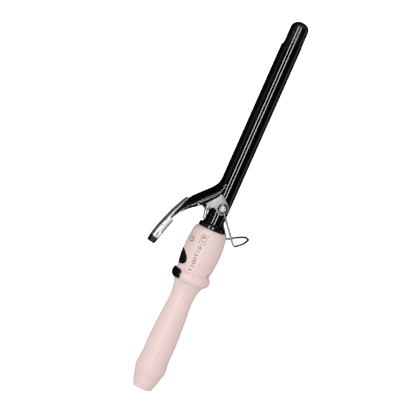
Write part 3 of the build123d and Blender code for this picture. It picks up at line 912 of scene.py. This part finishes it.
def rest_grid(stations):
    """Grid of sections along the thumb rest, square to its run: a superellipse whose outer face is
    bowed, with an oval dimple pressed into each side near the cap."""
    x, y, lean, thick, half, crown = (stations[:, k : k + 1] for k in range(6))
    lean = np.radians(lean)
    t = circle(128)
    wide = np.sign(np.cos(t)) * np.abs(np.cos(t)) ** 0.3
    tall = np.sign(np.sin(t)) * np.abs(np.sin(t)) ** 0.36
    up = thick / 2 * (tall - 1) - crown * wide**2 * (1 + tall) / 2
    dimple = 0.45 * np.exp(-(((x + 46.3) / 2.0) ** 2) - ((up + 5.4) / 0.9) ** 2)
    return np.stack([x + np.sin(lean) * up, y + np.cos(lean) * up, (half - dimple) * wide], -1)


class IRON_OT_thumb_rest(bpy.types.Operator):
    """The plated thumb rest over the lever's tail, and its black end cap."""

    bl_idname = "iron.thumb_rest"
    bl_label = "Thumb rest"

    def execute(self, context):
        colours = context.scene.iron_colours
        x = np.concatenate([np.linspace(-50.3, -27.2, 60), np.linspace(-27.0, -3.6, 80)])
        stations = np.column_stack([x, smooth_through(REST[:, 0], REST[:, 1:], x)])
        stations[:, 3] = np.interp(x, REST[:, 0], REST[:, 3])
        lip = stations[-1] + (0.4, -0.25, 0, -0.7, -0.5, -0.4)
        rest = surface("thumb_cover", rest_grid(np.vstack([stations, lip])))
        dress(rest, silvered_abs(colours.thumb), "clamp", "thumb_chrome", "thumb_rest")

        run = np.linspace(0, 1, 16)[:, None]
        first = np.array((-50.35, 53.28, 14.0, 8.2, 6.75, 0.6))
        tail = first + run * (-6.1, 1.0, -3.0, 0, 0, 0) + run**2 * (0, 0, 0, -0.9, -0.6, 0)
        turn = np.radians((25, 50, 70, 84))[:, None]
        inset = 0.5 * (1 - np.cos(turn)) * (0, -1, 0, -2, -1, 0)
        tail = np.vstack([tail, tail[-1] + inset - 0.5 * np.sin(turn) * (1, 0, 0, 0, 0, 0)])
        cap = surface("thumb_tip", rest_grid(tail))
        dress(cap, matt_abs(colours.plastic), "clamp", "black_plastic", "thumb_rest_cap")
        return {"FINISHED"}


# ---- stand
class IRON_OT_stand(bpy.types.Operator):
    """The wire stand: an eye on each pivot screw, splayed legs and a rounded arch across them."""

    bl_idname = "iron.stand"
    bl_label = "Wire stand"

    def execute(self, context):
        radius = context.scene.iron_sizes.stand_wire / MM / 2
        lean = math.radians(38.2)
        leg = np.array((-math.cos(lean), -math.sin(lean), 0))
        arch = np.array((math.sin(lean), -math.cos(lean), 0))
        up = np.array((0, 0, 1))
        half_width = 22.5
        reach = 37.6
        height = 17.3
        eye_z = 13.3
        half = [
            leg * 2.6 + up * eye_z,
            leg * 7.0 + up * (eye_z + 0.6),
            leg * reach + up * half_width,
            leg * reach + arch * 0.62 * height + up * 0.86 * half_width,
            leg * reach + arch * (height + 0.6) + up * 0.36 * half_width,
        ]
        far = [point * MIRROR for point in half[::-1]]
        path = rounded_path(half + far, [6.0, 2.6, 7.0, 7.5, 7.5, 7.0, 2.6, 6.0])
        turn = circle(48)[:, None]
        section = circle(16)
        eye_r = 3.08
        ring = eye_r + radius * np.cos(section)
        level = np.broadcast_to(eye_z + radius * np.sin(section), (48, 16))
        eye = np.stack([ring * np.cos(turn), ring * np.sin(turn), level], -1)
        nickel = bright_plating(context.scene.iron_colours.plating)
        stand = surface("stand_wire", wire(path, radius, 32), rings=[eye, eye * MIRROR])
        dress(stand, nickel, "stand", "bright_steel", "wire_stand")
        return {"FINISHED"}


class IRON_OT_gland(bpy.types.Operator):
    """The swivelling cord gland in the end of the grip."""

    bl_idname = "iron.gland"
    bl_label = "Cord gland"

    def execute(self, context):
        face = GLAND_LOW[0]
        rim = arc_points((face + 0.5, 5.0), 0.5, 90, 180, 6)
        mouth = arc_points((face + 0.7, 4.1), 0.7, 180, 270, 6)
        flange = [(face + 8.2, 3.4), (face + 8.2, 7.0), (face + 6.15, 7.0), (face + 6.15, 5.5)]
        profile = [*flange, *rim, *mouth]
        grid = turned(profile, centre=(GRIP_Y, 0.0), steps=72)
        black = matt_abs(context.scene.iron_colours.plastic)
        dress(surface("swivel_gland", rings=[grid]), black, "gland", "black_plastic", "cord_gland")
        return {"FINISHED"}


class IRON_OT_inside(bpy.types.Operator):
    """Finishes for the pieces that keep their CAD shape, most of them inside the iron."""

    bl_idname = "iron.inside"
    bl_label = "Inner pieces"

    def execute(self, context):
        # Real material and finish, sRGB colour, roughness, grain in mm, metallic, and the nodes.
        finishes = (
            ("extruded_aluminium", "#C4C6C8", 0.4, 0.4, 1.0, "heat_spreader_front heat_spreader_rear"),
            ("machined_steel", "#B9BBBC", 0.3, 0.3, 1.0, "pivot_bosses"),
            ("zinc_plated_screw", "#BFC2C0", 0.35, 0.3, 1.0, "grip_screws"),
            ("fired_alumina", "#E9E4D6", 0.6, 0.6, 0.0, "heater_element root_insulator"),
            ("glass_braid", "#E4E2DA", 0.8, 0.4, 0.0, "heater_leads temperature_sensor thermal_fuse"),
            ("glass_epoxy_board", "#1E5B34", 0.35, 0.8, 0.0, "circuit_board"),
            ("dipped_film", "#C9A23A", 0.4, 0.8, 0.0, "film_capacitor"),
            ("moulded_epoxy", "#1A1A1C", 0.5, 0.3, 0.0, "triac tact_switch switch_plunger"),
            ("display_glass", "#15181B", 0.1, 2.0, 0.0, "display_module"),
        )
        for name, shade, rough, grain, metallic, nodes in finishes:
            look = (rough, grain, 0.01, 0.85)
            material = finish_material(name, linear(shade), *look, Metallic=metallic)
            for node in nodes.split():
                mesh = frame["nodes"][node].data
                mesh.materials.clear()
                mesh.materials.append(material)
        return {"FINISHED"}


# ---- stage
class IRON_OT_stage(bpy.types.Operator):
    """Pale floor, soft studio light, two long strip lights and the camera."""

    bl_idname = "iron.stage"
    bl_label = "Stage"

    def execute(self, context):
        scene = context.scene
        scene.view_settings.view_transform = "Standard"
        side = math.radians(11.5)
        rise = math.radians(4.0)
        level = math.cos(rise)
        back = Vector((math.sin(rise), math.sin(side) * level, math.cos(side) * level))
        barrel = (Vector((1, 0, 0)) - back * back.x).normalized()
        across = barrel.cross(back)
        tilt = math.radians(23.9)
        up = barrel * math.cos(tilt) - across * math.sin(tilt)
        right = barrel * math.sin(tilt) + across * math.cos(tilt)
        aim = Vector(PIVOT) - right * 12.5 * MM - up * 0.8 * MM
        distance = 1.5
        camera_data = bpy.data.cameras.new("camera")
        camera_data.lens = 131.9
        camera_data.sensor_width = 36.0
        camera_data.clip_start = 0.05
        camera = bpy.data.objects.new("camera", camera_data)
        camera.matrix_world = Matrix((right, up, back)).transposed().to_4x4()
        camera.location = aim + back * distance
        scene.collection.objects.link(camera)
        scene.camera = camera

        floor_mesh = bpy.data.meshes.new("floor")
        floor_mesh.from_pydata([(-6, -6, 0), (6, -6, 0), (6, 6, 0), (-6, 6, 0)], [], [(0, 1, 2, 3)])
        floor = bpy.data.objects.new("floor", floor_mesh)
        scene.collection.objects.link(floor)
        paper = bpy.data.materials.new("white_paper")
        paper.use_nodes = True
        shader = paper.node_tree.nodes["Principled BSDF"]
        shader.inputs["Base Color"].default_value = (0.9, 0.9, 0.9, 1)
        shader.inputs["Roughness"].default_value = 0.9
        shader.inputs["Emission Color"].default_value = (1, 1, 1, 1)
        shader.inputs["Emission Strength"].default_value = 0.85
        floor_mesh.materials.append(paper)
        floor.visible_glossy = floor.visible_diffuse = False

        scene.world = world = scene.world or bpy.data.worlds.new("studio")
        world.use_nodes = True
        sky = world.node_tree.nodes["Background"]
        sky.inputs["Color"].default_value = (1.0, 1.0, 1.0, 1)
        sky.inputs["Strength"].default_value = 0.7
        world.cycles_visibility.glossy = False

        def lamp(name, toward, size, size_y, power, distance=1.7):
            """A rectangular light that faces the pivot, its long side along the barrel."""
            data = bpy.data.lights.new(name, "AREA")
            data.shape = "RECTANGLE"
            data.size, data.size_y, data.energy = size, size_y, power
            obj = bpy.data.objects.new(name, data)
            toward = Vector(toward).normalized()
            along = Vector((1, 0, 0)) - toward * toward.x
            if abs(toward.x) > 0.9:
                along = Vector((0, 1, 0)) - toward * toward.y
            along.normalize()
            obj.matrix_world = Matrix((along, toward.cross(along), toward)).transposed().to_4x4()
            obj.location = Vector(PIVOT) + toward * distance
            obj.visible_camera = False
            scene.collection.objects.link(obj)
            return obj

        def over_barrel(degrees):
            """Direction that a spot of the barrel so far round from the camera mirrors to it."""
            angle = side + 2 * math.radians(degrees)
            return (0.05, math.sin(angle), math.cos(angle))

        for name, degrees in (("strip_lever_side", 11.0), ("strip_grip_side", -6.2)):
            lamp(name, over_barrel(degrees), 3.4, 0.1, 24).visible_diffuse = False
        for name, toward, power in (
            ("card_lever_side", (0, 1, 0.25), 1.3),
            ("card_grip_side", (0, -1, 0.1), 3.0),
            ("card_tip_side", (1, 0.02, 0.25), 3.4),
            ("card_cord_side", (-1, 0.02, 0.25), 3.4),
        ):
            lamp(name, toward, 3.0, 0.9, power, 1.9).visible_diffuse = False
        lamp("key", (0.1, 0.48, 0.87), 0.9, 0.9, 8).visible_glossy = False
        return {"FINISHED"}


class IRON_PT_panel(bpy.types.Panel):
    """Sidebar panel with the sizes, the colours and a button for each piece."""

    bl_idname = "IRON_PT_panel"
    bl_label = "Clamp curling iron"
    bl_space_type = "VIEW_3D"
    bl_region_type = "UI"
    bl_category = "Iron"

    def draw(self, context):
        for group in (context.scene.iron_sizes, context.scene.iron_colours):
            box = self.layout.box()
            for key in group.__annotations__:
                box.prop(group, key)
        for operator in OPERATORS:
            self.layout.operator(operator.bl_idname)


OPERATORS = (
    IRON_OT_stage,
    IRON_OT_grip,
    IRON_OT_window,
    IRON_OT_button,
    IRON_OT_marks,
    IRON_OT_barrel,
    IRON_OT_clamp,
    IRON_OT_pivot,
    IRON_OT_spring,
    IRON_OT_thumb_rest,
    IRON_OT_stand,
    IRON_OT_gland,
    IRON_OT_inside,
)
CLASSES = (IronSizes, IronColours, *OPERATORS, IRON_PT_panel)


def register():
    """Registers the classes and hangs the properties on the scene."""
    for cls in CLASSES:
        bpy.utils.register_class(cls)
    bpy.types.Scene.iron_sizes = bpy.props.PointerProperty(type=IronSizes)
    bpy.types.Scene.iron_colours = bpy.props.PointerProperty(type=IronColours)


def unregister():
    """Takes the properties and the classes away again."""
    del bpy.types.Scene.iron_colours
    del bpy.types.Scene.iron_sizes
    for cls in reversed(CLASSES):
        bpy.utils.unregister_class(cls)


def main():
    register()
    for operator in OPERATORS:
        group, name = operator.bl_idname.split(".")
        getattr(getattr(bpy.ops, group), name)()


if __name__ == "__main__":
    main()
